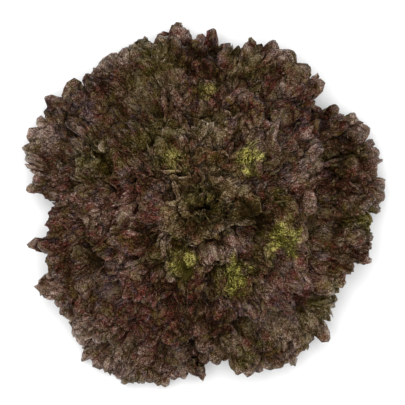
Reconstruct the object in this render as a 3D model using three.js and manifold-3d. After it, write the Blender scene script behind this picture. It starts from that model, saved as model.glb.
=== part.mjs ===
// A head of red batavia lettuce, as cut: a short stem with its flat cut face down, single leaves
// placed round it by the golden angle from the oldest, lowest one to the youngest, and the heart of
// small leaves in the middle. Millimetres, +Z up, origin at the centre of the stem's cut face.
import * as THREE from "three";
import { mergeVertices } from "three/addons/utils/BufferGeometryUtils.js";
import Module from "manifold-3d";

// How the leaves are placed
const GOLDEN_ANGLE = 137.508; // degrees from one leaf to the next
const FIRST_AZIMUTH = 102; // degrees, where the oldest leaf points
const SINGLE_LEAVES = 26; // large leaves, each a piece of its own
const HEART_LEAVES = 9; // small leaves that are grown together in the heart
const AGE_OFFSET = 2; // room under the oldest leaf for its waves, in steps of one leaf
const AGE_STEPS = 38; // steps from the table up to the axis

// How far the nine oldest leaves reach from the axis, which makes the head's outline, and how many
// degrees two of them are turned out of their place in the spiral
const OUTLINE_REACH = [146, 158, 148, 151, 145, 140, 145, 136, 142];
const OUTLINE_TURN = { 4: 12, 6: 5 };

// The line of a leaf's middle: how steeply it leaves the stem and how far it bends over, in degrees
const RISE = [12, 90]; // oldest and innermost
const RISE_POWER = 1.7; // above 1, so that the leaves soon stand steeper than the oldest one
const BEND = 54;
const BEND_HALFWAY = 20; // more for the leaves halfway in
const BEND_INNERMOST = -84; // the innermost ones bend the other way, over the heart
const INNERMOST_POWER = 9;
const BEND_POWER = 2.6; // the bend is mostly near the tip
const LINE_STEPS = 16;

// The shape of one leaf, as shares of its length
const LENGTH_OLDEST = 142;
const LENGTH_LOST = 68; // how much shorter the youngest leaf is
const LENGTH_SPREAD = [0.97, 1.04]; // no two leaves are alike
const WIDTH_SPREAD = [0.94, 1.06];
const LEAN_SPREAD = [-0.08, 0.08]; // how far the tip stands to one side
const HALF_WIDTH_SHARE = 0.56;
const MARGIN_CENTRE_SHARE = 0.56; // the margin runs round a point this far along the leaf
const MARGIN_SWEEP = 118; // degrees the margin runs to each side of the tip
const CLASP_DEGREES = 58; // the leaf never wraps further round the axis than this
const BASE_HALF_WIDTH = [13, 4]; // oldest and youngest

// The frill of the margin, in steps of one leaf, so that no leaf meets the next
const FRILL_STEPS = [1.3, 0.82]; // at the tip and at the sides, where the next leaf but one lies
const FRILL_NARROWS = [20, 40]; // degrees round the axis from the leaf's middle
const ROLL_STEPS = 0.12;
const FRILLS = 10; // waves along one margin
const HEART_FRILLS = 5;
const FRILL_START = 0.5; // where the waves begin, as a share of the way out
const FRILL_WANDER = 1; // how far a wave wanders sideways on its way out, as an angle of its phase
const FRILL_WANDER_TURN = 9; // radians that the wandering turns from base to margin
const LOBE_DEPTH = 0.045;
const SPOKE_WARP = 0.03; // the waves are not evenly spaced
const SWELL_DEPTH = 0.2; // nor equally high

// Thicknesses
const BLADE = 0.9;
const RIB_DEPTH = [3.4, 0.5]; // at the base of the oldest leaf and of the youngest
const RIB_HALF_WIDTH = [8, 3]; // at the base and at the margin
const RIB_YOUNG_SHARE = 0.45; // how much narrower the youngest leaf's rib is

// The stem
const STEM_RADIUS = 19; // where the oldest leaf grows from it
const STEM_TIP_RADIUS = 3;
const LOWEST_LEAF = 6.5; // height of the oldest leaf's base
const LEAF_BASES_HEIGHT = 38; // from the oldest leaf's base to the youngest one's
const BASES_POWER = 0.9; // below 1, the oldest bases are the furthest apart
const CUT_RADIUS = 15.5;
const CUT_EDGE = [1.6, 2]; // the stem is this much wider, this far above the cut
const STEM_RING_STEP = 5.5;
const STEM_SIDES = 24;
const STEM_TOP = 33.6;
const TOP_CHAMFER = 1.5;
const UNDER_BASES = 1.4; // how far the stem's side lies inside the line of the leaves' bases
const GAP = 0.35;

// The bud in the heart: radius and height above its foot
const BUD = [[6.4, 0], [7.1, 2], [5.2, 9], [2.8, 14], [0, 16.5]];
const BUD_SIDES = 12;

const BRONZE = { color: 0x4a3326, roughness: 0.5, metalness: 0 };
const OLIVE = { color: 0x6a6a2c, roughness: 0.5, metalness: 0 };
const PALE = { color: 0xcfd0a4, roughness: 0.6, metalness: 0 };

const radians = THREE.MathUtils.degToRad;
const mix = THREE.MathUtils.lerp;

// A repeatable number from 0 to 1 for leaf n and trait k.
function chance(n, k) {
  const wave = Math.sin(n * 12.9898 + k * 78.233) * 43758.5453;
  return wave - Math.floor(wave);
}

const ageOf = (step) => (step + AGE_OFFSET) / AGE_STEPS;
const lengthAt = (age) => LENGTH_OLDEST - LENGTH_LOST * age;
const baseRadius = (age) => mix(STEM_RADIUS, STEM_TIP_RADIUS, age);
const baseHeight = (age) => LOWEST_LEAF + LEAF_BASES_HEIGHT * age ** BASES_POWER;

// The line that a leaf's middle follows, away from the stem and up: it leaves at an angle that is low
// for an old leaf and steep for a young one, and bends over towards its tip. Leaves of other ages
// follow lines that never cross it.
function along(age, distance) {
  const rise = radians(mix(RISE[1], RISE[0], (1 - age) ** RISE_POWER));
  const halfway = BEND_HALFWAY * Math.sin(Math.PI * age);
  const bend = radians(BEND + halfway + BEND_INNERMOST * age ** INNERMOST_POWER);
  const share = distance / lengthAt(age);
  let out = 0;
  let up = 0;
  for (let i = 0; i < LINE_STEPS; i++) {
    const angle = rise - bend * ((share * (i + 0.5)) / LINE_STEPS) ** BEND_POWER;
    out += Math.cos(angle) / LINE_STEPS;
    up += Math.sin(angle) / LINE_STEPS;
  }
  return [baseRadius(age) + distance * out, baseHeight(age) + distance * up];
}

// The traits of leaf n, counted from the oldest.
function leafTraits(n) {
  const age = ageOf(n);
  let length = lengthAt(age) * mix(...LENGTH_SPREAD, chance(n, 1));
  if (n < OUTLINE_REACH.length) {
    // four steps of closing in on the length that reaches the outline
    length = lengthAt(age);
    for (let i = 0; i < 4; i++) length += OUTLINE_REACH[n] - along(age, length)[0];
  }
  return {
    n,
    age,
    length,
    azimuth: FIRST_AZIMUTH + GOLDEN_ANGLE * n + (OUTLINE_TURN[n] ?? 0),
    halfWidth: length * HALF_WIDTH_SHARE * mix(...WIDTH_SPREAD, chance(n, 2)),
    baseHalfWidth: mix(...BASE_HALF_WIDTH, age),
    side: chance(n, 3) < 0.5 ? -1 : 1,
    warp: chance(n, 4) * 2 * Math.PI,
    lobes: chance(n, 5) * 2 * Math.PI,
    swell: chance(n, 6) * 2 * Math.PI,
    roll: mix(-ROLL_STEPS, ROLL_STEPS, chance(n, 7)),
    lean: mix(...LEAN_SPREAD, chance(n, 8)),
    frills: FRILLS,
  };
}

// A point on the middle of leaf's blade. a runs from -1 to 1 along the margin and v from 0 at the
// base to 1 at the margin. The blade is a fan of spokes. Its waves lift and lower it by parts of the
// step from one leaf to the next.
function bladePoint(leaf, a, v) {
  const spoke = a + SPOKE_WARP * Math.sin(2 * Math.PI * a + leaf.warp) * (1 - a * a);
  const turn = radians(MARGIN_SWEEP) * spoke;
  const lobe = 1 + LOBE_DEPTH * Math.cos(4 * turn + leaf.lobes) * Math.cos(turn / 2);
  const marginSide = leaf.halfWidth * Math.sin(turn) * lobe;
  const marginOut =
    leaf.length * (MARGIN_CENTRE_SHARE + (1 - MARGIN_CENTRE_SHARE) * Math.cos(turn) * lobe);
  const baseSide = leaf.baseHalfWidth * spoke;
  const sideways =
    (1 - v) ** 2 * baseSide +
    2 * v * (1 - v) * (0.8 * baseSide + 0.15 * marginSide) +
    v * v * (marginSide + leaf.lean * leaf.length);
  const distance = v * marginOut;

  const open = Math.max(0, (v - FRILL_START) / (1 - FRILL_START)) ** 1.2;
  const swell = 1 - SWELL_DEPTH + SWELL_DEPTH * Math.sin(5 * a + leaf.swell);
  const most = radians(CLASP_DEGREES);
  const flatRadius = Math.max(6, along(leaf.age, distance)[0]);
  const round = most * Math.tanh(sideways / flatRadius / most);
  const narrow = FRILL_NARROWS.map(radians);
  const besideness = THREE.MathUtils.smoothstep(Math.abs(round), ...narrow);
  const deep = mix(...FRILL_STEPS, besideness);
  const wander = FRILL_WANDER * Math.sin(FRILL_WANDER_TURN * v + leaf.warp + 4 * a);
  const wave = open * deep * swell * leaf.side * Math.sin(Math.PI * leaf.frills * a + wander);
  const age = ageOf(leaf.n + wave + leaf.roll * a * v);

  const [radius, height] = along(age, distance);
  const angle = radians(leaf.azimuth) + round;
  return new THREE.Vector3(radius * Math.cos(angle), radius * Math.sin(angle), height);
}

// How thick the midrib stands out under the blade.
function ribDepth(leaf, a, v) {
  const side = (leaf.baseHalfWidth + (leaf.halfWidth * 0.9 - leaf.baseHalfWidth) * v * v) * a;
  const width = mix(...RIB_HALF_WIDTH, v) * mix(1, RIB_YOUNG_SHARE, leaf.age);
  const depth = mix(...RIB_DEPTH, Math.min(1, leaf.age * 1.6));
  return depth * (1 - v) ** 0.8 * Math.exp(-((side / width) ** 2));
}

// The rows of one leaf's grid, from base to margin: how far out, and how many steps across.
const OUTLINE_ROWS = [
  { v: 0, steps: 4 },
  { v: 0.25, steps: 10 },
  { v: 0.5, steps: 20 },
  { v: 0.68, steps: 40 },
  { v: 0.84, steps: 44 },
  { v: 1, steps: 44 },
];
const ROWS = [
  { v: 0, steps: 4 },
  { v: 0.25, steps: 10 },
  { v: 0.52, steps: 20 },
  { v: 0.76, steps: 40 },
  { v: 1, steps: 40 },
];
const HEART_ROWS = [
  { v: 0, steps: 4 },
  { v: 0.35, steps: 5 },
  { v: 0.68, steps: 10 },
  { v: 1, steps: 20 },
];

// Triangles between two rows of a grid: equal rows give squares cut by alternating diagonals, and
// otherwise the next row along is always the one that lags behind.
function stripBetween(first, firstSteps, second, secondSteps) {
  const faces = [];
  let i = 0;
  let j = 0;
  while (i < firstSteps || j < secondSteps) {
    const nearFirst = (i + 1) / firstSteps;
    const nearSecond = (j + 1) / secondSteps;
    const tie = Math.abs(nearFirst - nearSecond) < 1e-9;
    const advanceSecond = tie ? firstSteps !== secondSteps || i % 2 === 0 : nearSecond < nearFirst;
    if (j < secondSteps && (i >= firstSteps || advanceSecond)) {
      faces.push([first + i, second + j + 1, second + j]);
      j++;
    } else {
      faces.push([first + i, first + i + 1, second + j]);
      i++;
    }
  }
  return faces;
}

// A leaf as a closed thin solid: the same triangles on its upper and lower face, and a rim.
function leafGeometry(leaf, rows) {
  const mids = [];
  const spots = [];
  const starts = [];
  for (const { v, steps } of rows) {
    starts.push(mids.length);
    for (let i = 0; i <= steps; i++) {
      const a = 1 - (2 * i) / steps; // this way round, the first sheet faces up
      mids.push(bladePoint(leaf, a, v));
      spots.push([a, v]);
    }
  }
  const faces = [];
  for (let r = 0; r + 1 < rows.length; r++) {
    faces.push(...stripBetween(starts[r], rows[r].steps, starts[r + 1], rows[r + 1].steps));
  }

  const normals = mids.map(() => new THREE.Vector3());
  for (const [p, q, s] of faces) {
    const across = mids[q].clone().sub(mids[p]);
    const onward = mids[s].clone().sub(mids[p]);
    const normal = across.cross(onward);
    for (const corner of [p, q, s]) normals[corner].add(normal);
  }
  const upper = [];
  const lower = [];
  mids.forEach((point, i) => {
    const normal = normals[i].normalize();
    const depth = BLADE / 2 + ribDepth(leaf, ...spots[i]);
    upper.push(...point.clone().addScaledVector(normal, BLADE / 2).toArray());
    lower.push(...point.clone().addScaledVector(normal, -depth).toArray());
  });

  const count = mids.length;
  const last = rows.length - 1;
  const edge = [];
  for (let i = 0; i <= rows[0].steps; i++) edge.push(i);
  for (let r = 1; r < last; r++) edge.push(starts[r] + rows[r].steps);
  for (let i = rows[last].steps; i >= 0; i--) edge.push(starts[last] + i);
  for (let r = last - 1; r > 0; r--) edge.push(starts[r]);
  const index = faces.flat();
  for (const [p, q, s] of faces) index.push(p + count, s + count, q + count);
  edge.forEach((p, i) => {
    const q = edge[(i + 1) % edge.length];
    index.push(p, p + count, q, q, p + count, q + count);
  });

  const geometry = new THREE.BufferGeometry();
  geometry.setAttribute("position", new THREE.Float32BufferAttribute([...upper, ...lower], 3));
  geometry.setIndex(index);
  geometry.computeVertexNormals();
  return geometry;
}

// The stem: a short cone with a flat cut foot, a little wider just above the cut. Its side runs along
// the leaves' bases, just under their thickness.
function stemGeometry() {
  const points = [
    [0, 0],
    [CUT_RADIUS, 0],
    [CUT_RADIUS + CUT_EDGE[0], CUT_EDGE[1]],
  ];
  for (let height = LOWEST_LEAF - 1; height < STEM_TOP; height += STEM_RING_STEP) {
    const age = ((height - LOWEST_LEAF + 1) / LEAF_BASES_HEIGHT) ** (1 / BASES_POWER);
    points.push([baseRadius(age) - UNDER_BASES - GAP, height]);
  }
  const topRadius = points[points.length - 1][0];
  points.push([topRadius - TOP_CHAMFER, STEM_TOP], [0, STEM_TOP]);
  return new THREE.LatheGeometry(points.map((point) => new THREE.Vector2(...point)), STEM_SIDES);
}

// The bud inside the heart, which the small leaves grow out of.
function budGeometry() {
  const foot = STEM_TOP + GAP;
  const side = BUD.map(([radius, height]) => new THREE.Vector2(radius, foot + height));
  return new THREE.LatheGeometry([new THREE.Vector2(0, foot), ...side], BUD_SIDES);
}

const wasm = await Module();
wasm.setup();

function toSolid(geometry) {
  const plain = geometry.clone();
  plain.deleteAttribute("normal");
  plain.deleteAttribute("uv");
  const merged = mergeVertices(plain, 1e-4);
  return new wasm.Manifold(
    new wasm.Mesh({
      numProp: 3,
      vertProperties: merged.attributes.position.array,
      triVerts: new Uint32Array(merged.index.array),
    }),
  );
}

function toGeometry(solid) {
  const mesh = solid.getMesh();
  const geometry = new THREE.BufferGeometry();
  geometry.setAttribute("position", new THREE.BufferAttribute(mesh.vertProperties, 3));
  geometry.setIndex(new THREE.BufferAttribute(mesh.triVerts, 1));
  geometry.computeVertexNormals();
  return geometry;
}

// A lathe turns about Y, so it is stood up with its axis along Z.
const stood = (geometry) => geometry.rotateX(Math.PI / 2);

// The heart: the bud and its small leaves, joined into one body.
function heartGeometry() {
  let heart = toSolid(stood(budGeometry()));
  for (let n = SINGLE_LEAVES; n < SINGLE_LEAVES + HEART_LEAVES; n++) {
    const leaf = leafTraits(n);
    leaf.frills = HEART_FRILLS;
    heart = heart.add(toSolid(leafGeometry(leaf, HEART_ROWS)));
  }
  return toGeometry(heart);
}

const lettuce = new THREE.Group();

function place(name, geometry, look) {
  const mesh = new THREE.Mesh(geometry, new THREE.MeshStandardMaterial(look));
  mesh.name = name;
  lettuce.add(mesh);
}

place("stem", stood(stemGeometry()), PALE);
place("heart", heartGeometry(), OLIVE);
for (let n = 0; n < SINGLE_LEAVES; n++) {
  const name = "leaf_" + String(n + 1).padStart(2, "0");
  const rows = n < OUTLINE_REACH.length ? OUTLINE_ROWS : ROWS;
  place(name, leafGeometry(leafTraits(n), rows), BRONZE);
}

export default lettuce;
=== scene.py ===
"""A head of red batavia lettuce, as cut, standing on the flat face of its stem.

The solids give every leaf its place, its line and its waves. Here each leaf is worked out again from
the same formulas on a fine grid, with what the solids leave out: curls, lobes, blisters and veins.
Lengths are in millimetres until a mesh is made, and meshes are in metres.
"""

import math
from types import SimpleNamespace

import bpy
import numpy as np
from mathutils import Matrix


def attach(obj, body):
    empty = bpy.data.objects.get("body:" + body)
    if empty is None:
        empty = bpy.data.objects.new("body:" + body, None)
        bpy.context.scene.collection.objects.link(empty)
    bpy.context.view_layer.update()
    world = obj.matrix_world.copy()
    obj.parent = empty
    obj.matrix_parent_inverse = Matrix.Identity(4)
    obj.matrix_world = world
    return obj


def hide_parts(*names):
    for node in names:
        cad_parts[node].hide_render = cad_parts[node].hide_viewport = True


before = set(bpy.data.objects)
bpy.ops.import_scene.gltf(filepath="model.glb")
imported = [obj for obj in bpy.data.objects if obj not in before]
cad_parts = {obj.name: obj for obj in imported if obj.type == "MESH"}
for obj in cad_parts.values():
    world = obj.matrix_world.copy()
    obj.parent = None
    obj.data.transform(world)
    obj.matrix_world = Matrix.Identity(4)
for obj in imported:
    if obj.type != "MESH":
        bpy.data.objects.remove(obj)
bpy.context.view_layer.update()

bl_info = {
    "name": "Batavia Lettuce",
    "version": (1, 0, 0),
    "blender": (4, 5, 0),
    "location": "View3D > Sidebar > Lettuce",
    "description": "A head of red batavia lettuce, leaf by leaf, with its stem and its stage",
    "category": "Add Mesh",
}

MM = 0.001

# How the leaves are placed, as in the solids
GOLDEN_ANGLE = 137.508
FIRST_AZIMUTH = 102
SINGLE_LEAVES = sum(name.startswith("leaf_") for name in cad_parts)
HEART_LEAVES = 9
AGE_OFFSET = 2
AGE_STEPS = 38
OUTLINE_REACH = [146, 158, 148, 151, 145, 140, 145, 136, 142]
OUTLINE_TURN = {4: 12, 6: 5}  # degrees that leaves are turned out of the spiral

# The line of a leaf's middle, as in the solids
RISE = (12, 90)
RISE_POWER = 1.7
BEND = 54
BEND_HALFWAY = 20
BEND_INNERMOST = -84
INNERMOST_POWER = 9
BEND_POWER = 2.6
LINE_STEPS = 16

# The shape of one leaf, as in the solids
LENGTH_OLDEST = 142
LENGTH_LOST = 68
LENGTH_SPREAD = (0.97, 1.04)
WIDTH_SPREAD = (0.94, 1.06)
LEAN_SPREAD = (-0.08, 0.08)
HALF_WIDTH_SHARE = 0.56
MARGIN_CENTRE_SHARE = 0.56
MARGIN_SWEEP = 118
CLASP_DEGREES = 58
BASE_HALF_WIDTH = (13, 4)
FRILL_STEPS = (1.3, 0.82)
FRILL_NARROWS = (20, 40)
ROLL_STEPS = 0.12
FRILLS = 10
HEART_FRILLS = 5
FRILL_START = 0.5
FRILL_WANDER = 1
FRILL_WANDER_TURN = 9
LOBE_DEPTH = 0.045
SPOKE_WARP = 0.03
SWELL_DEPTH = 0.2

# The stem, as in the solids
STEM_RADIUS = 19
STEM_TIP_RADIUS = 3
LOWEST_LEAF = 6.5
LEAF_BASES_HEIGHT = 38
BASES_POWER = 0.9
CUT_RADIUS = 15.5
CUT_EDGE = (1.6, 2)
STEM_TOP = 33.6
TOP_CHAMFER = 1.5
UNDER_BASES = 1.4
GAP = 0.35
BUD = [(6.4, 0), (7.1, 2), (5.2, 9), (2.8, 14), (0, 16.5)]

# The midrib, as in the solids
RIB_HALF_WIDTH = (8, 3)
RIB_YOUNG_SHARE = 0.45
RIB_DEPTH_YOUNG = 0.5
RIB_THINS = 1.6  # how much sooner than the head's axis the midribs reach their least depth

# How finely the round pieces are cut: steps round them and along them
BUD_SIDES = 48
BUD_STEPS = 24
BUD_BULGE = 0.06  # share of its radius by which the bud bulges
STEM_SIDES = 96
STEM_STEPS = 40
CUT_STEPS = 12
EDGE_STEPS = 5
STEM_BULGE = 0.035
STEM_SHOULDER = 0.6  # height of the chamfer at the stem's top
VESSEL_RING = 0.0105  # radius in metres of the ring of vessels on the cut

# The stage, in metres
FLOOR_HALF = 3
KEY_SIZE = 1.8
KEY_PLACE = (-0.12, 0.16, 2.4)
RIM_HEIGHT = 0.04  # where the camera's frame is as wide as its setting says
CAMERA_OFFSET = (-0.0025, 0.0016)
SENSOR = 36  # millimetres

# The fine form of a leaf
ROOTED = -0.02  # the blade begins this share of its length inside the stem
BANDS = ((0.45, 6), (0.78, 2.6), (1, 1.35))  # where each band of the grid ends, and its rows' distance
FINE_STEP = 1.2  # between grid points along the margin
SLIP = 0.15  # how far a point moves down its crumple's slope, in grains
LOBE_SLIP = 0.24  # the same for the lobes, along the margin
LOBES_LEAN = 7  # how far the lobes' ends move along the margin
LOBES_LEAN_OVER = 11  # grain of that along the margin
NOTCHED = 0.18  # how far the lobes lie inside the solids' margin, in lobe depths
FOLD_STRETCH = 1.25  # how many times longer outwards than across a fold is
FOLD_STRAYS = 9  # how far folds stray from their straight run
FOLD_BENDS = 14  # grain of their straying
LIES_ABOVE = 0.6  # the middle of a blade that droops as far as the table
HEAVE_GROWS = (0.35, 0.9)  # where from base to margin it begins and is full, here and below
CURL_GROWS = (0.35, 0.9)
RUFFLE_GROWS = (0.6, 1.0)
BLISTERS_GROW = (0.2, 0.5)
LOBES_GROW = (0.8, 1.0)
LOBES_CHANGE = 1.5  # grains of the lobes' noise from base to margin
CRESTS = {"level": 0.25, "heave": 0.3, "curl": 0.4, "ruffle": 0.35, "blisters": 0.7}  # what stands out
THINNEST = 0.6  # share of the blade's thickness that is left at the margin
PLEATS = 120  # fine pleats across a leaf, as painted light and shade and as bump
MAIN_VEINS = 16
SIDE_VEINS = 47
SHADE_BELOW = 0.965  # tissue that stands out less than this is painted dark, as shade in the creases and recesses

# Noise on a leaf and in its colours
NOISE_CELLS = 64  # the noise repeats after so many grains
NOISE_GAIN = 1.5
FAR = 300  # moves a leaf's coordinates clear of zero, in millimetres
SEEDS_A_LEAF = 40
CLOUDS = 38  # grains a metre, here and below
PATCHES = 95
MOTTLE = 380
SPECKS = 1050
RIM_PAINTED_LIGHT = (0.125, 0.148)  # metres from the axis, where the head is painted lighter, as light shining through the thin margins
RAGGED = ((9, 0.9, 5), (4, 0.5, 6))  # a colour place's ragged edge: grain, strength and seed
RAGGED_FAR = 40  # moves its noise clear of zero, in grains

# The parts of the head that stand out by their colour: x and y from the stem, radius and strength.
# Tufts and olive parts are young or shaded tissue that lies open to the light. The greyish parts are
# painted sheen, light on the tissue with a greyish violet tone, and the dark parts are painted shade.
TUFTS = {
    "east_of_heart": (35, 35, 11, 1.0),
    "south_east": (62, -26, 15, 1.0),
    "south": (22, -59, 14, 1.0),
    "south_west": (-19, -47, 11, 0.7),
    "west_of_heart": (-24, 32, 10, 0.5),
    "north_small": (2, 90, 8, 0.6),
    "east_rim": (131, -12, 8, 0.5),
}
OLIVES = {
    "north_west_arc": (-45, 49, 26, 1.0),
    "west_arc": (-88, 32, 24, 1.0),
    "north": (-38, 118, 26, 1.0),
    "north_east": (33, 113, 20, 0.8),
    "north_east_rim": (80, 106, 16, 0.7),
    "north_of_heart": (4, 66, 18, 0.6),
    "heart_depth": (-3, 2, 14, 0.9),
    "south_of_heart": (-30, -42, 22, 0.7),
    "east_rim": (124, -12, 16, 0.7),
    "south_east_rim": (104, -74, 24, 0.9),
    "south_low": (-64, -110, 20, 0.7),
}
REDS = {
    "south_west": (-48, -86, 36, 1.0),
    "south_east": (74, -66, 22, 0.8),
    "west_rim": (-132, -20, 26, 0.8),
    "north_rim": (-10, 136, 24, 0.7),
    "north_east": (82, 84, 26, 0.5),
    "west_of_middle": (-62, 6, 34, 0.5),
}
GREY_SHEEN = {
    "north_west_rim": (-116, 70, 36, 1.0),
    "north_east": (74, 46, 26, 0.8),
    "east_of_heart": (30, 14, 14, 0.7),
    "west_low": (-72, -56, 22, 0.9),
    "south_of_middle": (24, -30, 14, 0.7),
    "south_rim": (52, -100, 26, 0.8),
}
# Painted shade: the dark recesses between the leaves, darkened in the colour
SHADE_PLACES = {
    "north_west": (-112, 82, 27, 1.0),
    "north": (-4, 112, 20, 0.9),
    "north_east": (96, 60, 20, 0.6),
    "east_of_heart": (40, -8, 15, 1.0),
    "east": (110, 34, 20, 0.5),
    "west_line": (-56, -26, 15, 0.8),
    "south_of_tufts": (-8, -64, 16, 0.8),
    "south_west": (-86, -40, 18, 0.7),
    "south": (-30, -66, 14, 0.7),
    "south_low": (14, -92, 18, 0.6),
}


def colour_setting(name, description, default):
    """A colour that the sidebar shows."""
    return bpy.props.FloatVectorProperty(
        name=name, description=description, subtype="COLOR", size=3, default=default, min=0, max=1)


class HeadSettings(bpy.types.PropertyGroup):
    """The sizes of what is added to the solids' leaves."""

    blade: bpy.props.FloatProperty(
        name="Blade", description="Thickness of a leaf's blade, in millimetres", default=0.5, min=0.2)
    rib: bpy.props.FloatProperty(
        name="Rib", description="Depth of the oldest leaf's midrib, in millimetres", default=3.4, min=0)
    heave: bpy.props.FloatProperty(
        name="Heave", description="How far whole parts of a blade rise and sink, in millimetres", default=9)
    heave_size: bpy.props.FloatProperty(
        name="Heave size", description="Grain of the rising and sinking, in millimetres", default=13, min=8)
    curl: bpy.props.FloatProperty(
        name="Curl", description="Height of the curls at the margin, in millimetres", default=4.5)
    curl_size: bpy.props.FloatProperty(
        name="Curl size", description="Grain of the curls, in millimetres", default=3.8, min=3)
    ruffle: bpy.props.FloatProperty(
        name="Ruffle", description="Height of the small ruffles at the margin, in millimetres", default=1.8)
    ruffle_size: bpy.props.FloatProperty(
        name="Ruffle size", description="Grain of the small ruffles, in millimetres", default=2.2, min=2)
    lobe_depth: bpy.props.FloatProperty(
        name="Lobe depth", description="Depth of the margin's lobes, in millimetres", default=9.5)
    lobe_length: bpy.props.FloatProperty(
        name="Lobe length", description="Grain of the lobes along the margin, in millimetres",
        default=5.5, min=3)
    blister_height: bpy.props.FloatProperty(
        name="Blister height", description="Height of the blisters between the veins, in millimetres",
        default=2.4)
    blister_size: bpy.props.FloatProperty(
        name="Blister size", description="Distance from one blister to the next, in millimetres",
        default=4, min=3)


class ColourSettings(bpy.types.PropertyGroup):
    """The colours of the leaves and the stem."""

    bronze: colour_setting(
        "Bronze", "Main colour of a leaf in the light", (0.054, 0.0235, 0.0100))
    burgundy: colour_setting(
        "Burgundy", "The redder parts", (0.062, 0.0155, 0.0095))
    # Painted shade: the dark colour laid in the creases and the dark places, broken up by random mottling
    shade_mottle: colour_setting(
        "Umber", "The dark mottling", (0.0085, 0.0038, 0.0009))
    # Painted sheen: the greyish pink of light on the crests
    crest_sheen: colour_setting(
        "Bloom", "The greyish pink on the crests", (0.245, 0.163, 0.116))
    red: colour_setting(
        "Red", "Small red parts", (0.115, 0.024, 0.016))
    ochre: colour_setting(
        "Ochre", "Small yellowish parts", (0.100, 0.062, 0.010))
    plum: colour_setting(
        "Plum", "Small greyish violet parts", (0.066, 0.042, 0.046))
    # Painted highlight: pinkish specks of light on the crests
    rose_sheen: colour_setting(
        "Rose", "Pinkish specks on the crests", (0.25, 0.125, 0.092))
    # Painted highlight: glints of light as the lightest specks
    glint: colour_setting(
        "Glint", "The lightest specks", (0.52, 0.42, 0.34))
    # Painted sheen on the crests of the olive parts
    olive_sheen: colour_setting(
        "Straw", "Specks on the crests of olive parts", (0.195, 0.143, 0.056))
    olive: colour_setting(
        "Olive", "Shaded and inner tissue", (0.053, 0.038, 0.0040))
    # Young green is the tufts' colour in the light, and young green in the folds its painted shade: a lit and
    # a shaded copy
    young: colour_setting(
        "Young green", "The bright tufts", (0.44, 0.39, 0.08))
    young_shade: colour_setting(
        "Young green in the folds", "The bright tufts' darker parts", (0.052, 0.042, 0.0065))
    base: colour_setting(
        "Leaf base", "The pale green tissue towards the stem", (0.20, 0.21, 0.055))
    vein: colour_setting(
        "Vein", "Veins and midribs", (0.11, 0.085, 0.040))
    under: colour_setting(
        "Underside", "The leaves' undersides", (0.115, 0.092, 0.034))
    stem: colour_setting(
        "Stem", "The stem's pale flesh", (0.60, 0.60, 0.36))
    skin: colour_setting(
        "Stem skin", "Browned patches of the stem's skin", (0.36, 0.22, 0.11))
    fibre: colour_setting(
        "Fibres", "Fibres along the stem", (0.42, 0.42, 0.20))
    vessels: colour_setting(
        "Vessels", "The ring of vessels on the cut", (0.30, 0.19, 0.07))
    cut_edge: colour_setting(
        "Edge of the cut", "The browned edge of the cut", (0.26, 0.13, 0.06))


class StageSettings(bpy.types.PropertyGroup):
    """The floor, the lights and the camera."""

    floor: colour_setting(
        "Floor", "Colour of the floor", (0.96, 0.96, 0.96))
    sky: bpy.props.FloatProperty(
        name="Sky", description="Strength of the light from all round", default=0.5, min=0)
    key: bpy.props.FloatProperty(
        name="Key light", description="Power of the large light above", subtype="POWER", default=60, min=0)
    height: bpy.props.FloatProperty(
        name="Camera height", description="Height of the camera above the floor", unit="LENGTH", default=1.5)
    frame_width: bpy.props.FloatProperty(
        name="Frame width", description="Width of what the camera sees at the rim", unit="LENGTH",
        default=0.331)


def chance(n, k):
    """A repeatable number from 0 to 1 for leaf n and trait k: the fraction of a large sine."""
    wave = math.sin(n * 12.9898 + k * 78.233) * 43758.5453
    return wave - math.floor(wave)


def mix(low, high, share):
    """low at share 0 and high at share 1, in a straight line."""
    return low + (high - low) * share


def smooth(low, high, x):
    """0 below low and 1 above high, with 3t^2 - 2t^3 between."""
    t = np.clip((x - low) / (high - low), 0, 1)
    return t * t * (3 - 2 * t)


def unit(vectors):
    """The vectors at length one."""
    return vectors / np.maximum(np.linalg.norm(vectors, axis=-1, keepdims=True), 1e-9)


def noise(x, y, seed):
    """Smooth noise from about -1 to 1: each corner of a unit square has a drawn slope, and the four
    slopes are mixed by the fade 6t^5 - 15t^4 + 10t^3."""
    turns = np.random.default_rng(seed).random((NOISE_CELLS, NOISE_CELLS)) * 2 * np.pi
    left, low = np.floor(x).astype(int), np.floor(y).astype(int)
    fx, fy = x - left, y - low

    def slope(i, j):
        turn = turns[(left + i) % NOISE_CELLS, (low + j) % NOISE_CELLS]
        return np.cos(turn) * (fx - i) + np.sin(turn) * (fy - j)

    ux, uy = (t ** 3 * (6 * t * t - 15 * t + 10) for t in (fx, fy))
    bottom = mix(slope(0, 0), slope(1, 0), ux)
    top = mix(slope(0, 1), slope(1, 1), ux)
    return mix(bottom, top, uy) * NOISE_GAIN


def age_of(step):
    """A leaf's age from 0, the table, to 1, the axis, from its number counted from the oldest."""
    return (step + AGE_OFFSET) / AGE_STEPS


def length_at(age):
    return LENGTH_OLDEST - LENGTH_LOST * age


def base_radius(age):
    return mix(STEM_RADIUS, STEM_TIP_RADIUS, age)


def base_height(age):
    return LOWEST_LEAF + LEAF_BASES_HEIGHT * age ** BASES_POWER


def along(age, distance):
    """The line of a leaf's middle, as radius and height: from its base on the stem, distance times the
    mean of the directions on the way, where the angle starts at the rise and falls by the bend times
    the share of the leaf's length to BEND_POWER."""
    age = np.clip(age, 0.01, 0.995)
    rise = np.radians(mix(RISE[1], RISE[0], (1 - age) ** RISE_POWER))
    bend = np.radians(
        BEND + BEND_HALFWAY * np.sin(np.pi * age) + BEND_INNERMOST * age ** INNERMOST_POWER)
    share = np.maximum(distance / length_at(age), 0)
    out = 0
    up = 0
    for i in range(LINE_STEPS):
        angle = rise - bend * (share * (i + 0.5) / LINE_STEPS) ** BEND_POWER
        out = out + np.cos(angle) / LINE_STEPS
        up = up + np.sin(angle) / LINE_STEPS
    return base_radius(age) + distance * out, base_height(age) + distance * up


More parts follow.
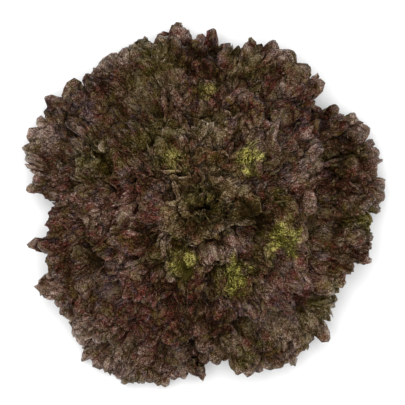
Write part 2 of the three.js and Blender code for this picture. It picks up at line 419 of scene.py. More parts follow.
def leaf_traits(n):
    """The traits of leaf n, counted from the oldest, drawn as in the solids."""
    age = age_of(n)
    length = length_at(age) * mix(*LENGTH_SPREAD, chance(n, 1))
    if n < len(OUTLINE_REACH):
        length = length_at(age)
        for _ in range(4):
            length += OUTLINE_REACH[n] - along(age, length)[0]
    return SimpleNamespace(
        n=n,
        age=age,
        length=length,
        azimuth=FIRST_AZIMUTH + GOLDEN_ANGLE * n + OUTLINE_TURN.get(n, 0),
        half_width=length * HALF_WIDTH_SHARE * mix(*WIDTH_SPREAD, chance(n, 2)),
        base_half_width=mix(*BASE_HALF_WIDTH, age),
        side=-1 if chance(n, 3) < 0.5 else 1,
        warp=chance(n, 4) * 2 * math.pi,
        lobes=chance(n, 5) * 2 * math.pi,
        swell=chance(n, 6) * 2 * math.pi,
        roll=mix(-ROLL_STEPS, ROLL_STEPS, chance(n, 7)),
        lean=mix(*LEAN_SPREAD, chance(n, 8)),
        frills=FRILLS if n < SINGLE_LEAVES else HEART_FRILLS,
    )


def flat_place(leaf, a, v):
    """Where a point of the blade lies when the leaf is spread flat: sideways and out from the base.
    The margin is part of an oval round MARGIN_CENTRE_SHARE, and spokes curve out to it."""
    spoke = a + SPOKE_WARP * np.sin(2 * np.pi * a + leaf.warp) * (1 - a * a)
    turn = np.radians(MARGIN_SWEEP) * spoke
    lobe = 1 + LOBE_DEPTH * np.cos(4 * turn + leaf.lobes) * np.cos(turn / 2)
    margin_side = leaf.half_width * np.sin(turn) * lobe
    margin_out = leaf.length * (
        MARGIN_CENTRE_SHARE + (1 - MARGIN_CENTRE_SHARE) * np.cos(turn) * lobe)
    base_side = leaf.base_half_width * spoke
    sideways = (
        (1 - v) ** 2 * base_side
        + 2 * v * (1 - v) * (0.8 * base_side + 0.15 * margin_side)
        + v * v * (margin_side + leaf.lean * leaf.length))
    return sideways, v * margin_out


def blade(leaf, a, v):
    """The middle of a leaf's blade: a runs -1..1 along the margin and v 0..1 from base to margin.
    The flat leaf is laid round the axis, and its waves raise and lower it by parts of the step from
    one leaf to the next, as in the solids."""
    sideways, distance = flat_place(leaf, a, v)
    opened = np.maximum(0, (v - FRILL_START) / (1 - FRILL_START)) ** 1.2
    swell = 1 - SWELL_DEPTH + SWELL_DEPTH * np.sin(5 * a + leaf.swell)
    most = math.radians(CLASP_DEGREES)
    flat_radius = np.maximum(6, along(leaf.age, distance)[0])
    round_axis = most * np.tanh(sideways / flat_radius / most)
    beside = smooth(*np.radians(FRILL_NARROWS), np.abs(round_axis))
    wander = FRILL_WANDER * np.sin(FRILL_WANDER_TURN * v + leaf.warp + 4 * a)
    wave = opened * mix(*FRILL_STEPS, beside) * swell * leaf.side * np.sin(np.pi * leaf.frills * a + wander)
    radius, height = along(age_of(leaf.n + wave + leaf.roll * a * v), distance)
    angle = math.radians(leaf.azimuth) + round_axis
    return np.stack([radius * np.cos(angle), radius * np.sin(angle), height], -1)


def margin_length(leaf):
    """The length of the leaf's waved margin."""
    a = np.linspace(-1, 1, 400)
    points = blade(leaf, a, np.ones_like(a))
    return np.linalg.norm(np.diff(points, axis=0), axis=1).sum()


def sloped_noise(x, y, seed):
    """The noise at a place, and how steeply it grows along x and along y."""
    step = 0.05
    along_x = (noise(x + step, y, seed) - noise(x - step, y, seed)) / (2 * step)
    along_y = (noise(x, y + step, seed) - noise(x, y - step, seed)) / (2 * step)
    return noise(x, y, seed), along_x, along_y


def crinkled(leaf, a, v, head):
    """The blade with its fine form. A coarse noise heaves it, and two finer noises, stretched outwards,
    fold it across the margin, where another noise lets the folds stray from a straight run. All grow
    towards the margin, and each point also moves along the blade, down the noise's slope, so that
    the crests are wide and round and the creases between them narrow. Blisters are the absolute
    value of a noise. The margin's lobes are made the same way as the folds, outwards in place of
    up, and a last noise leans them to one side or the other. Nothing reaches below the table.
    Returns the points and how far each stands out, from 0 in a crease to 1 on a crest."""
    size = 0.35 + 0.65 * leaf.length / LENGTH_OLDEST
    seed = SEEDS_A_LEAF * leaf.n
    near = 0.004

    def flat(a, v):
        return np.stack(flat_place(leaf, a, v), -1)

    middle = blade(leaf, a, v)
    left = unit(blade(leaf, a + near, v) - blade(leaf, a - near, v))
    out = unit(blade(leaf, a, v + near) - blade(leaf, a, v - near))
    normal = unit(np.cross(out, left))
    flat_left = unit(flat(a + near, v) - flat(a - near, v))
    flat_out = unit(flat(a, v + near) - flat(a, v - near))
    x, y = (flat(a, v) + FAR).T

    grown = smooth(*HEAVE_GROWS, v)
    value, along_x, along_y = sloped_noise(x / head.heave_size, y / head.heave_size, seed)
    slip = -SLIP * head.heave_size * grown
    sideways = slip * (along_x * flat_left[:, 0] + along_y * flat_left[:, 1])
    outwards = slip * (along_x * flat_out[:, 0] + along_y * flat_out[:, 1])
    up = value * head.heave * size * grown
    crest = value * CRESTS["heave"] * grown

    margin_place = a * leaf.margin / 2 + FAR
    strayed = FOLD_STRAYS * noise(x / FOLD_BENDS, y / FOLD_BENDS, seed + 30)
    strayed_out = FOLD_STRAYS * noise(x / FOLD_BENDS, y / FOLD_BENDS, seed + 31)
    across = margin_place + strayed
    distance = (v * leaf.length + strayed_out) / FOLD_STRETCH + FAR
    folds = (
        (head.curl_size, head.curl, CURL_GROWS, CRESTS["curl"]),
        (head.ruffle_size, head.ruffle, RUFFLE_GROWS, CRESTS["ruffle"]),
    )
    for k, (grain, height, grows, stands_out) in enumerate(folds):
        grown = smooth(*grows, v)
        value, along_x, along_y = sloped_noise(across / grain, distance / grain, seed + 1 + k)
        sideways -= SLIP * grain * along_x * grown
        outwards -= SLIP * grain * along_y * grown
        up += value * height * size * grown
        crest += value * stands_out * grown

    grain = head.blister_size * size
    domes = np.abs(noise(x / grain, y / grain, seed + 20)) * smooth(*BLISTERS_GROW, v)
    up += domes * head.blister_height * size
    crest += domes * CRESTS["blisters"]

    grown = smooth(*LOBES_GROW, v)
    lobes = ((head.lobe_length, head.lobe_depth), (head.lobe_length / 2, head.lobe_depth * 0.4))
    for grain, depth in lobes:
        value, along_x, _ = sloped_noise(margin_place / grain, v * LOBES_CHANGE, seed + 21)
        sideways -= LOBE_SLIP * grain * along_x * grown
        outwards += (value - NOTCHED) * depth * size * grown

    leaning = noise(margin_place / LOBES_LEAN_OVER, v * LOBES_CHANGE, seed + 23)
    sideways += leaning * LOBES_LEAN * size * grown

    points = middle + left * sideways[:, None] + out * outwards[:, None] + normal * up[:, None]
    points[:, 2] = np.maximum(points[:, 2], LIES_ABOVE)
    return points, np.clip(CRESTS["level"] + crest, 0, 1)


def fan_grid(leaf):
    """The grid of one leaf in bands of rows from base to margin, each band with twice as many steps
    across as the one before. Returns a and v of each point, the faces as lists of their corners and
    the loop of points round the edge."""
    steps = max(8, round(leaf.margin / FINE_STEP / 2 ** (len(BANDS) - 1)))
    a, v, quads, triangles, first_column, last_column = [], [], [], [], [], []
    count = 0
    start = ROOTED
    for k, (end, row_step) in enumerate(BANDS):
        rows = max(4, round(leaf.length * (end - start) / row_step))
        levels = start + (end - start) * np.arange(0 if k == 0 else 1, rows + 1) / rows
        a.append(np.tile(np.linspace(1, -1, steps + 1), len(levels)))
        v.append(np.repeat(levels, steps + 1))
        if k > 0:
            inner = count - (steps // 2 + 1) + np.arange(steps // 2)
            outer = count + 2 * np.arange(steps // 2)
            triangles += [
                np.stack([inner, outer + 1, outer], -1),
                np.stack([inner, inner + 1, outer + 1], -1),
                np.stack([inner + 1, outer + 2, outer + 1], -1),
            ]
        row = count + np.arange(len(levels))[:, None] * (steps + 1)
        corner = (row[:-1] + np.arange(steps)[None, :]).ravel()
        quads.append(np.stack([corner, corner + 1, corner + steps + 2, corner + steps + 1], -1))
        first_column += list(row[:, 0])
        last_column += list(row[:, 0] + steps)
        count += len(levels) * (steps + 1)
        start = end
        steps *= 2
    foot = np.arange(first_column[0], last_column[0] + 1)
    margin = np.arange(last_column[-1], first_column[-1] - 1, -1)
    edge = np.concatenate([foot, last_column[1:-1], margin, first_column[-2:0:-1]])
    return np.concatenate(a), np.concatenate(v), np.concatenate(quads), np.concatenate(triangles), edge


def point_normals(points, quads, triangles):
    """Each point's normal: the sum of its faces' cross products, at length one."""
    total = np.zeros_like(points)
    p, q, r, s = (points[corner] for corner in quads.T)
    cross_quads = np.cross(r - p, s - q)
    p, q, r = (points[corner] for corner in triangles.T)
    cross_triangles = np.cross(q - p, r - p)
    for faces, crosses in ((quads, cross_quads), (triangles, cross_triangles)):
        for corner in faces.T:
            for axis in range(3):
                total[:, axis] += np.bincount(corner, crosses[:, axis], len(points))
    return unit(total)


def rib_depth(leaf, a, v, head):
    """How thick the midrib stands out under the blade: a bell across it that fades to the tip."""
    v = np.clip(v, 0, 1)
    side = (leaf.base_half_width + (leaf.half_width * 0.9 - leaf.base_half_width) * v * v) * a
    width = mix(*RIB_HALF_WIDTH, v) * mix(1, RIB_YOUNG_SHARE, leaf.age)
    depth = mix(head.rib, RIB_DEPTH_YOUNG, min(1, leaf.age * RIB_THINS))
    return depth * (1 - v) ** 0.8 * np.exp(-((side / width) ** 2))


def spots(places, points):
    """How strongly the places colour each point: the largest of their bells, each made ragged by a
    coarse and a fine noise that fade more slowly than the bell."""
    ragged = 0
    for grain, share, seed in RAGGED:
        x, y = (points[:, :2] / grain + RAGGED_FAR).T
        ragged = ragged + noise(x, y, seed) * share
    strength = np.zeros(len(points))
    for x, y, radius, most in places.values():
        away = ((points[:, 0] - x) ** 2 + (points[:, 1] - y) ** 2) / radius ** 2
        bell = np.exp(-away) + ragged * np.exp(-away / 2)
        strength = np.maximum(strength, most * smooth(0.2, 0.8, bell))
    return strength


def leaf_mesh_parts(leaf, head):
    """One leaf as a closed thin solid: the crinkled grid moved out along its normals to both sides,
    with a rim. Returns points, quads, triangles and each point's marks."""
    leaf.margin = margin_length(leaf)
    a, v, quads, triangles, edge = fan_grid(leaf)
    middle, crest = crinkled(leaf, a, v, head)
    normals = point_normals(middle, quads, triangles)
    half = head.blade / 2 * mix(1, THINNEST, smooth(0.6, 1, v))
    upper = middle + normals * half[:, None]
    lower = middle - normals * (half + rib_depth(leaf, a, v, head))[:, None]
    count = len(middle)
    after = np.roll(edge, -1)
    rim = np.stack([edge, edge + count, after + count, after], -1)
    points = np.concatenate([upper, lower])
    all_quads = np.concatenate([quads, quads[:, ::-1] + count, rim])
    all_triangles = np.concatenate([triangles, triangles[:, ::-1] + count])

    inward = 1 - smooth(0.35, 0.8, v + 0.12 * noise(a * 6 + 20, v * 5, leaf.n + 400))
    green = np.maximum(spots(OLIVES, middle), 0.9 * inward)
    own = np.full(count, chance(leaf.n, 9))
    marks = {
        "tint": np.stack([green, spots(TUFTS, middle), spots(REDS, middle), crest], -1),
        "shade": np.stack([spots(GREY_SHEEN, middle), spots(SHADE_PLACES, middle), own], -1),
        "uv": np.stack([(a + 1) / 2, np.clip(v, 0, 1)], -1),
        "width": (leaf.base_half_width + (leaf.half_width - leaf.base_half_width) * np.clip(v, 0, 1)) * 2,
    }
    marks = {key: np.concatenate([value, value]) for key, value in marks.items()}
    marks["under"] = np.concatenate([np.zeros(count), np.ones(count)])
    return points, all_quads, all_triangles, marks


def joined(parts):
    """Several parts' points, faces and marks as one."""
    start = 0
    points, quads, triangles, marks = [], [], [], []
    for part in parts:
        points.append(part[0])
        quads.append(part[1] + start)
        triangles.append(part[2] + start)
        marks.append(part[3])
        start += len(part[0])
    together = {key: np.concatenate([m[key] for m in marks]) for key in marks[0]}
    return np.concatenate(points), np.concatenate(quads), np.concatenate(triangles), together


# What a leaf's points carry for its material: name, kind and the field it is written to
MARKS = (
    ("tint", "FLOAT_COLOR", "color"),
    ("shade", "FLOAT_VECTOR", "vector"),
    ("under", "FLOAT", "value"),
    ("width", "FLOAT", "value"),
)


def put_mesh(name, part, material):
    """A new object at the origin with the part's mesh in metres, its marks and its material."""
    points, quads, triangles, marks = part
    mesh = bpy.data.meshes.new(name)
    loops = np.concatenate([quads.ravel(), triangles.ravel()]).astype(np.int32)
    starts = np.concatenate([
        np.arange(len(quads)) * 4, len(quads) * 4 + np.arange(len(triangles)) * 3]).astype(np.int32)
    mesh.vertices.add(len(points))
    mesh.vertices.foreach_set("co", (points * MM).astype(np.float32).ravel())
    mesh.loops.add(len(loops))
    mesh.loops.foreach_set("vertex_index", loops)
    mesh.polygons.add(len(starts))
    mesh.polygons.foreach_set("loop_start", starts)
    mesh.update(calc_edges=True)
    mesh.polygons.foreach_set("use_smooth", np.ones(len(starts), bool))
    if "uv" in marks:
        layer = mesh.uv_layers.new(name="blade")
        layer.data.foreach_set("uv", marks["uv"][loops].astype(np.float32).ravel())
    for key, kind, field in MARKS:
        if key in marks:
            mark = mesh.attributes.new(key, kind, "POINT")
            mark.data.foreach_set(field, marks[key].astype(np.float32).ravel())
    mesh.materials.append(material)
    mesh.validate()
    piece = bpy.data.objects.new(name, mesh)
    bpy.context.scene.collection.objects.link(piece)
    return piece


def turned(profile, sides, bulge):
    """A profile of radius and height turned round the Z axis: sides columns, each ring's radius times
    one plus bulge. The ends on the axis are single points."""
    profile = np.array(profile, float)
    rings = profile[1:-1]
    angle = np.linspace(0, 2 * np.pi, sides, endpoint=False)
    plain, height = rings[:, :1], rings[:, 1:]
    radius = plain * (1 + bulge(angle[None, :], height, plain))
    ring_points = np.stack([
        radius * np.cos(angle), radius * np.sin(angle), np.repeat(height, sides, 1)], -1)
    ends = [[0, 0, profile[0, 1]], [0, 0, profile[-1, 1]]]
    points = np.concatenate([ring_points.reshape(-1, 3), ends])
    column = np.arange(sides)
    after = (column + 1) % sides
    row = np.arange(len(rings) - 1)[:, None] * sides
    quads = np.stack([row + column, row + after, row + sides + after, row + sides + column], -1)
    quads = quads.reshape(-1, 4)
    foot, top = len(points) - 2, len(points) - 1
    last = (len(rings) - 1) * sides
    triangles = np.concatenate([
        np.stack([np.full(sides, foot), after, column], -1),
        np.stack([np.full(sides, top), last + column, last + after], -1)])
    return points, quads, triangles


class Shader:
    """Builds one material's nodes. Every method adds a node and returns its output."""

    def __init__(self, name):
        self.material = bpy.data.materials.new(name)
        self.material.use_nodes = True
        self.nodes = self.material.node_tree.nodes
        self.links = self.material.node_tree.links
        self.surface = next(n for n in self.nodes if n.type == "BSDF_PRINCIPLED")
        self.count = 0

    def add(self, kind, **settings):
        made = self.nodes.new(kind)
        for key, value in settings.items():
            setattr(made, key, value)
        self.count += 1
        made.location = (-220 * (1 + self.count % 8), -260 * (self.count // 8))
        return made

    def put(self, socket, value):
        """A socket's value: a link from another output, a number or a colour."""
        if isinstance(value, bpy.types.NodeSocket):
            self.links.new(value, socket)
        elif hasattr(value, "__len__") and len(value) == 3 and socket.type == "RGBA":
            socket.default_value = (*value, 1)
        else:
            socket.default_value = value

    def math(self, operation, *values, clamp=False):
        made = self.add("ShaderNodeMath", operation=operation, use_clamp=clamp)
        for socket, value in zip(made.inputs, values):
            self.put(socket, value)
        return made.outputs[0]

    def mix(self, share, first, second, how="MIX"):
        made = self.add("ShaderNodeMix", data_type="RGBA", blend_type=how, clamp_factor=True)
        self.put(made.inputs[0], share)
        self.put(made.inputs[6], first)
        self.put(made.inputs[7], second)
        return made.outputs[2]

    def noise(self, place, scale, detail=2.0, roughness=0.5, output=0):
        """Noise with so many grains a metre: output 0 is one value, output 1 is three as a colour."""
        made = self.add("ShaderNodeTexNoise")
        self.put(made.inputs["Vector"], place)
        made.inputs["Scale"].default_value = scale
        made.inputs["Detail"].default_value = detail
        made.inputs["Roughness"].default_value = roughness
        return made.outputs[output]

    def span(self, value, low, high, to_low=0.0, to_high=1.0):
        """value from low..high to to_low..to_high, smoothly and held at the ends."""
        made = self.add("ShaderNodeMapRange", interpolation_type="SMOOTHSTEP")
        self.put(made.inputs["Value"], value)
        for key, number in (("From Min", low), ("From Max", high), ("To Min", to_low), ("To Max", to_high)):
            made.inputs[key].default_value = number
        return made.outputs[0]

    def mark(self, name, output):
        return self.add("ShaderNodeAttribute", attribute_name=name).outputs[output]

    def channels(self, colour):
        made = self.add("ShaderNodeSeparateColor")
        self.put(made.inputs[0], colour)
        return made.outputs[0], made.outputs[1], made.outputs[2]


def plain_colours(settings):
    """The colour settings as plain values, by their names."""
    return SimpleNamespace(**{key: tuple(getattr(settings, key)) for key in type(settings).__annotations__})


def blade_place(shader):
    """Where a point lies on its blade: across from 0 to 1, outwards from 0 to 1, and the width there."""
    split = shader.add("ShaderNodeSeparateXYZ")
    shader.put(split.inputs[0], shader.add("ShaderNodeUVMap", uv_map="blade").outputs[0])
    return split.outputs[0], split.outputs[1], shader.mark("width", "Fac")


def vein_distance(shader, spokes, across, width, bend):
    """Distance in millimetres from the nearest of so many evenly spaced spokes, bent sideways."""
    saw = shader.math("FRACT", shader.math("MULTIPLY", shader.math("ADD", across, bend), float(spokes)))
    away = shader.math("ABSOLUTE", shader.math("SUBTRACT", saw, 0.5))
    return shader.math("DIVIDE", shader.math("MULTIPLY", away, width), float(spokes))


def leaf_material(colours, name="red_leaf", youth=0.0):
    """Crinkled leaf tissue: bronze with burgundy clouds and small patches of other tints, olive where
    it is shaded or young, pale veins and a paler underside. How lit each speck of tissue is painted is
    a weighted sum of the mottling, the specks, the crests, the fine pleats, the clouds, the places of
    colour, the rim and the margin. Where the sum is low the tissue is painted dark as shade in the
    creases; where it is high a painted greyish pink sheen shows, and on the highest painted glints."""
    s = Shader(name)
    place = s.add("ShaderNodeTexCoord").outputs["Object"]
    green, bright, red = s.channels(s.mark("tint", "Color"))
    crest = s.mark("tint", "Alpha")
    shade = s.add("ShaderNodeSeparateXYZ")
    s.put(shade.inputs[0], s.mark("shade", "Vector"))
    grey_sheen, dark, own = shade.outputs
    under = s.mark("under", "Fac")
    across, outward, width = blade_place(s)

    clouds, dark_cloud, olive_cloud = s.channels(s.noise(place, CLOUDS, 3, output=1))
    red_patch, ochre_patch, plum_patch = s.channels(s.noise(place, PATCHES, 2.5, 0.6, output=1))
    mottle = s.noise(place, MOTTLE, 3, 0.6)
    specks, speck_tint, _ = s.channels(s.noise(place, SPECKS, 1, 0.6, output=1))
    bend = s.math("MULTIPLY", s.math("SUBTRACT", s.noise(place, 55, 2), 0.5), 0.03)
    fine_bend = s.math("MULTIPLY_ADD", s.math("SUBTRACT", s.noise(place, 170, 2), 0.5), 0.01, bend)

    pleat = s.math("SINE", s.math("MULTIPLY", s.math("ADD", across, fine_bend), 2 * math.pi * PLEATS))
    pleat_share = s.math("MULTIPLY", s.span(outward, 0.5, 0.8), s.span(plum_patch, 0.42, 0.56))
    pleated = s.math("MULTIPLY", pleat, pleat_share)

    redness = s.math("ADD", s.span(clouds, 0.44, 0.62, 0, 0.6), s.span(own, 0.5, 0.9, 0, 0.5))
    redness = s.math("ADD", redness, red, clamp=True)
    colour = s.mix(redness, colours.bronze, colours.burgundy)
    olive_share = s.math("ADD", green, s.span(olive_cloud, 0.53, 0.69, 0, 0.7))
    olive_share = s.math("ADD", olive_share, s.span(own, 0.3, 0.1, 0, 0.3))
    olive_share = s.math("SUBTRACT", olive_share, s.math("MULTIPLY", red, 0.8), clamp=True)
    colour = s.mix(olive_share, colour, colours.olive)
    not_olive = s.math("MULTIPLY_ADD", olive_share, -0.7, 1.0)
    red_share = s.math("MULTIPLY", s.span(red_patch, 0.52, 0.64, 0, 0.8), not_olive)
    colour = s.mix(red_share, colour, colours.red)
    colour = s.mix(s.span(ochre_patch, 0.54, 0.66, 0, 0.7), colour, colours.ochre)
    # The greyish places also tip the tissue towards plum, a greyish violet tone
    plum_share = s.span(s.math("MULTIPLY_ADD", grey_sheen, 0.12, plum_patch), 0.54, 0.66, 0, 0.8)
    colour = s.mix(s.math("MULTIPLY", plum_share, not_olive), colour, colours.plum)

    colour = s.mix(s.span(outward, 0.55, 0.1, 0, 0.8), colour, colours.base)

    main_away = vein_distance(s, MAIN_VEINS, across, width, bend)
    side_away = vein_distance(s, SIDE_VEINS, across, width, fine_bend)
    side_vein = s.math("MULTIPLY", s.span(side_away, 0.5, 0.1, 0, 0.6), s.span(outward, 0.45, 0.7))
    from_middle = s.math("MULTIPLY", s.math("ABSOLUTE", s.math("SUBTRACT", across, 0.5)), width)
    midrib = s.math("MULTIPLY", s.span(from_middle, 3.2, 0.8), s.span(outward, 0.95, 0.5))
    vein = s.math("MAXIMUM", s.math("MAXIMUM", s.span(main_away, 0.9, 0.2), side_vein), midrib)
    vein_share = s.math("MULTIPLY", vein, s.span(outward, 1.0, 0.5, 0.25, 0.75))
    colour = s.mix(vein_share, colour, colours.vein)

    # Painted light and shade: how lit each speck of tissue is painted, from the mottling, the specks, the
    # crests and creases, the pleats, the clouds, the dark places, the greyish places, the rim and the margin
    speckled = s.math("MULTIPLY", s.math("SUBTRACT", specks, 0.5), s.span(outward, 0.45, 0.75, 0.35, 1.05))
    painted_light = s.math("MULTIPLY_ADD", mottle, 0.5, s.math("ADD", speckled, 0.55))
    painted_light = s.math("MULTIPLY_ADD", crest, 0.27, painted_light)
    painted_light = s.math("MULTIPLY_ADD", pleated, 0.07, painted_light)
    painted_light = s.math("MULTIPLY_ADD", s.math("SUBTRACT", dark_cloud, 0.5), 0.75, painted_light)
    # Painted shade at the dark places
    painted_light = s.math("MULTIPLY_ADD", dark, -0.22, painted_light)
    # Painted sheen at the greyish places
    painted_light = s.math("MULTIPLY_ADD", grey_sheen, 0.08, painted_light)
    flattened = s.add("ShaderNodeVectorMath", operation="MULTIPLY")
    s.put(flattened.inputs[0], place)
    flattened.inputs[1].default_value = (1, 1, 0)
    from_axis = s.add("ShaderNodeVectorMath", operation="LENGTH")
    s.put(from_axis.inputs[0], flattened.outputs[0])
    # Painted light: the head grows lighter towards its rim, as if light shone through the thin margins
    rim_painted_light = s.span(from_axis.outputs["Value"], *RIM_PAINTED_LIGHT, 0, 0.16)
    painted_light = s.math("ADD", rim_painted_light, painted_light)
    # Painted highlight: a thin light line along each leaf's margin
    painted_light = s.math("MULTIPLY_ADD", s.span(outward, 0.97, 0.995), 0.07, painted_light)
    # Painted shade: tissue that stands out little is darkened as if shaded in the creases, mottled at random
    colour = s.mix(s.span(painted_light, SHADE_BELOW, SHADE_BELOW - 0.2, 0, 0.92), colour, colours.shade_mottle)
    # Painted sheen: laid where the tissue stands out most, greyish pink, straw on olive parts and red on red
    # parts
    light = s.mix(s.span(speck_tint, 0.45, 0.6), colours.crest_sheen, colours.rose_sheen)
    light = s.mix(s.math("MULTIPLY", olive_share, 0.85), light, colours.olive_sheen)
    light = s.mix(s.math("MULTIPLY", red, 0.6), light, colours.red)
    colour = s.mix(s.span(painted_light, SHADE_BELOW + 0.04, SHADE_BELOW + 0.32, 0, 0.95), colour, light)
    # Painted glints on the specks that stand out most
    colour = s.mix(s.span(painted_light, SHADE_BELOW + 0.26, SHADE_BELOW + 0.44, 0, 0.8), colour, colours.glint)
    # Painted light and shade on the tufts: young green on their crests, its darker copy in their folds
    tuft_lit = s.span(painted_light, SHADE_BELOW - 0.06, SHADE_BELOW + 0.18)
    young = s.mix(tuft_lit, colours.young_shade, colours.young)
    colour = s.mix(s.math("MAXIMUM", bright, youth), colour, young)
    colour = s.mix(s.math("MULTIPLY", under, 0.5), colour, colours.under)
    s.put(s.surface.inputs["Base Color"], colour)
    s.put(s.surface.inputs["Roughness"], s.span(mottle, 0.3, 0.7, 0.44, 0.24))
    gloss = s.span(painted_light, SHADE_BELOW - 0.05, SHADE_BELOW + 0.2, 0.03, 0.5)
    s.put(s.surface.inputs["Specular IOR Level"], gloss)

    height = s.math("MULTIPLY_ADD", mottle, 0.9, s.math("MULTIPLY", specks, 0.5))
    height = s.math("MULTIPLY_ADD", pleated, 0.2, height)
    height = s.math("MULTIPLY_ADD", vein, -0.2, height)
    bump = s.add("ShaderNodeBump")
    bump.inputs["Strength"].default_value = 1.0
    bump.inputs["Distance"].default_value = 0.002
    s.put(bump.inputs["Height"], height)
    s.put(s.surface.inputs["Normal"], bump.outputs[0])
    return s.material


def stem_material(colours):
    """Pale moist flesh with fibres along it, a browned skin in patches, and on the cut a darker ring
    of vessels round a pale pith."""
    s = Shader("stem_flesh")
    place = s.add("ShaderNodeTexCoord").outputs["Object"]
    split = s.add("ShaderNodeSeparateXYZ")
    s.put(split.inputs[0], place)
    x, y, z = split.outputs
    radius = s.math("SQRT", s.math("ADD", s.math("MULTIPLY", x, x), s.math("MULTIPLY", y, y)))
    stretched = s.add("ShaderNodeMapping")
    stretched.inputs["Scale"].default_value = (1, 1, 0.15)
    s.put(stretched.inputs["Vector"], place)
    fibre = s.noise(stretched.outputs[0], 900, 3)
    patch = s.noise(place, 120, 4, 0.6)
    colour = s.mix(s.span(patch, 0.5, 0.75, 0, 0.7), colours.stem, colours.skin)
    colour = s.mix(s.span(fibre, 0.45, 0.7, 0, 0.4), colour, colours.fibre)
    wobble = s.math("MULTIPLY_ADD", patch, 0.0018, radius)
    ring = s.span(s.math("ABSOLUTE", s.math("SUBTRACT", wobble, VESSEL_RING)), 0.0016, 0.0002)
    on_cut = s.span(z, 0.0012, 0.0002)
    ring_share = s.math("MULTIPLY", ring, s.math("MULTIPLY", on_cut, 0.7))
    colour = s.mix(ring_share, colour, colours.vessels)
    edge = s.math("MULTIPLY", s.span(radius, 0.0128, 0.0155), on_cut)
    colour = s.mix(s.math("MULTIPLY", edge, 0.8), colour, colours.cut_edge)
    s.put(s.surface.inputs["Base Color"], colour)
    s.put(s.surface.inputs["Roughness"], s.span(patch, 0.3, 0.7, 0.36, 0.6))
    bump = s.add("ShaderNodeBump")
    bump.inputs["Strength"].default_value = 0.5
    bump.inputs["Distance"].default_value = 0.0006
    s.put(bump.inputs["Height"], s.math("ADD", fibre, patch))
    s.put(s.surface.inputs["Normal"], bump.outputs[0])
    return s.material


def floor_material(colour):
    """Plain matt floor with the faintest unevenness."""
    s = Shader("floor")
    place = s.add("ShaderNodeTexCoord").outputs["Object"]
    darker = tuple(share * 0.99 for share in colour)
    s.put(s.surface.inputs["Base Color"], s.mix(s.noise(place, 30, 2), tuple(colour), darker))
    s.surface.inputs["Roughness"].default_value = 0.9
    s.surface.inputs["Specular IOR Level"].default_value = 0.1
    return s.material


def dress(piece, node):
    """The piece rides on the one body and stands for its CAD node."""
    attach(piece, "root")
    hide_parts(node)


class LETTUCE_OT_leaves(bpy.types.Operator):
    """Make every single leaf, from the oldest and lowest to the youngest"""

    bl_idname = "lettuce.leaves"
    bl_label = "Single leaves"

    def execute(self, context):
        head = context.scene.lettuce_head
        material = leaf_material(plain_colours(context.scene.lettuce_colours))
        for n in range(SINGLE_LEAVES):
            node = f"leaf_{n + 1:02d}"
            part = leaf_mesh_parts(leaf_traits(n), head)
            dress(put_mesh(f"{node}_blade", part, material), node)
        return {"FINISHED"}


class LETTUCE_OT_heart(bpy.types.Operator):
    """Make the heart: the bud with its small leaves, grown together"""

    bl_idname = "lettuce.heart"
    bl_label = "Heart"

    def execute(self, context):
        head = context.scene.lettuce_head
        numbers = range(SINGLE_LEAVES, SINGLE_LEAVES + HEART_LEAVES)
        parts = [leaf_mesh_parts(leaf_traits(n), head) for n in numbers]

        def bulge(angle, height, radius):
            """Five swellings that turn a little on their way up."""
            return BUD_BULGE * np.sin(5 * angle + height * 0.5)

        foot = STEM_TOP + GAP
        bud_radii, bud_heights = zip(*BUD)
        heights = np.linspace(0, bud_heights[-1], BUD_STEPS)
        side = [(np.interp(height, bud_heights, bud_radii), foot + height) for height in heights]
        profile = [(0, foot)] + side[:-1] + [(0, side[-1][1])]
        points, quads, triangles = turned(profile, BUD_SIDES, bulge)
        count = len(points)
        marks = {
            "tint": np.tile([0.8, 0.4, 0.0, 0.4], (count, 1)),
            "shade": np.zeros((count, 3)),
            "uv": np.full((count, 2), 0.5),
            "width": np.full(count, 20.0),
            "under": np.zeros(count),
        }
        parts.append((points, quads, triangles, marks))
        colours = plain_colours(context.scene.lettuce_colours)
        material = leaf_material(colours, "young_leaf", 0.12)
        dress(put_mesh("heart_leaves", joined(parts), material), "heart")
        return {"FINISHED"}


class LETTUCE_OT_stem(bpy.types.Operator):
    """Make the stem, with its flat cut face and the swellings where the leaves grow"""

    bl_idname = "lettuce.stem"
    bl_label = "Stem"

    def execute(self, context):
        cut = [(CUT_RADIUS * share, 0) for share in np.linspace(0, 1, CUT_STEPS)]
        edge = [(CUT_RADIUS + CUT_EDGE[0] * math.sin(t), CUT_EDGE[1] * (1 - math.cos(t)))
                for t in np.linspace(0.3, math.pi / 2, EDGE_STEPS)]
        heights = np.linspace(LOWEST_LEAF - 1, STEM_TOP - STEM_SHOULDER, STEM_STEPS)
        ages = ((heights - LOWEST_LEAF + 1) / LEAF_BASES_HEIGHT) ** (1 / BASES_POWER)
        side = [(base_radius(age) - UNDER_BASES - GAP, height) for age, height in zip(ages, heights)]
        top = [(side[-1][0] - TOP_CHAMFER, STEM_TOP), (0, STEM_TOP)]

        def bulge(angle, height, radius):
            """Swellings in a spiral, none on the cut."""
            spiral = np.sin(5 * angle + height * 0.9) * np.sin(3 * angle - height * 0.7)
            return STEM_BULGE * spiral * smooth(2.5, 6, height) * smooth(0, 2, radius)

        points, quads, triangles = turned(cut + edge + side + top, STEM_SIDES, bulge)
        material = stem_material(plain_colours(context.scene.lettuce_colours))
        dress(put_mesh("stem_body", (points, quads, triangles, {}), material), "stem")
        return {"FINISHED"}


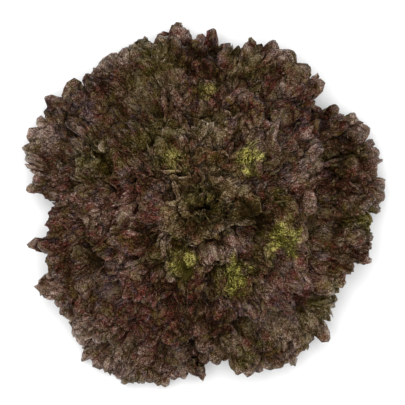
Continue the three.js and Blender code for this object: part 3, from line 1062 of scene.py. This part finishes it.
class LETTUCE_OT_stage(bpy.types.Operator):
    """Set the floor, the lights and the camera that looks straight down"""

    bl_idname = "lettuce.stage"
    bl_label = "Stage"

    def execute(self, context):
        stage = context.scene.lettuce_stage
        scene = context.scene
        half = FLOOR_HALF / MM
        ring = np.array([[-half, -half, 0], [half, -half, 0], [half, half, 0], [-half, half, 0]], float)
        square = (ring, np.array([[0, 1, 2, 3]]), np.zeros((0, 3), int), {})
        put_mesh("floor", square, floor_material(stage.floor))

        world = bpy.data.worlds.new("studio")
        world.use_nodes = True
        background = world.node_tree.nodes["Background"]
        background.inputs["Color"].default_value = (1, 1, 1, 1)
        background.inputs["Strength"].default_value = stage.sky
        scene.world = world

        light = bpy.data.lights.new("key", "AREA")
        light.shape = "DISK"
        light.size = KEY_SIZE
        light.energy = stage.key
        key = bpy.data.objects.new("key", light)
        key.location = KEY_PLACE
        key.rotation_mode = "QUATERNION"
        key.rotation_quaternion = (-key.location).to_track_quat("-Z", "Y")
        scene.collection.objects.link(key)

        camera = bpy.data.cameras.new("camera")
        camera.sensor_width = SENSOR
        camera.lens = SENSOR * (stage.height - RIM_HEIGHT) / stage.frame_width
        camera.dof.use_dof = False
        view = bpy.data.objects.new("camera", camera)
        view.location = (*CAMERA_OFFSET, stage.height)
        scene.collection.objects.link(view)
        scene.camera = view
        scene.view_settings.view_transform = "Standard"
        return {"FINISHED"}


class LETTUCE_PT_panel(bpy.types.Panel):
    """The lettuce's pieces and settings"""

    bl_idname = "LETTUCE_PT_panel"
    bl_label = "Batavia lettuce"
    bl_space_type = "VIEW_3D"
    bl_region_type = "UI"
    bl_category = "Lettuce"

    def draw(self, context):
        column = self.layout.column()
        for operator in OPERATORS:
            column.operator(operator.bl_idname)
        for group in (context.scene.lettuce_head, context.scene.lettuce_colours, context.scene.lettuce_stage):
            box = self.layout.box()
            for key in type(group).__annotations__:
                box.prop(group, key)


OPERATORS = (LETTUCE_OT_stage, LETTUCE_OT_stem, LETTUCE_OT_leaves, LETTUCE_OT_heart)
CLASSES = (HeadSettings, ColourSettings, StageSettings, *OPERATORS, LETTUCE_PT_panel)


def register():
    for item in CLASSES:
        bpy.utils.register_class(item)
    bpy.types.Scene.lettuce_head = bpy.props.PointerProperty(type=HeadSettings)
    bpy.types.Scene.lettuce_colours = bpy.props.PointerProperty(type=ColourSettings)
    bpy.types.Scene.lettuce_stage = bpy.props.PointerProperty(type=StageSettings)


def unregister():
    del bpy.types.Scene.lettuce_stage
    del bpy.types.Scene.lettuce_colours
    del bpy.types.Scene.lettuce_head
    for item in reversed(CLASSES):
        bpy.utils.unregister_class(item)


def main():
    register()
    bpy.ops.lettuce.stage()
    bpy.ops.lettuce.stem()
    bpy.ops.lettuce.leaves()
    bpy.ops.lettuce.heart()


if __name__ == "__main__":
    main()
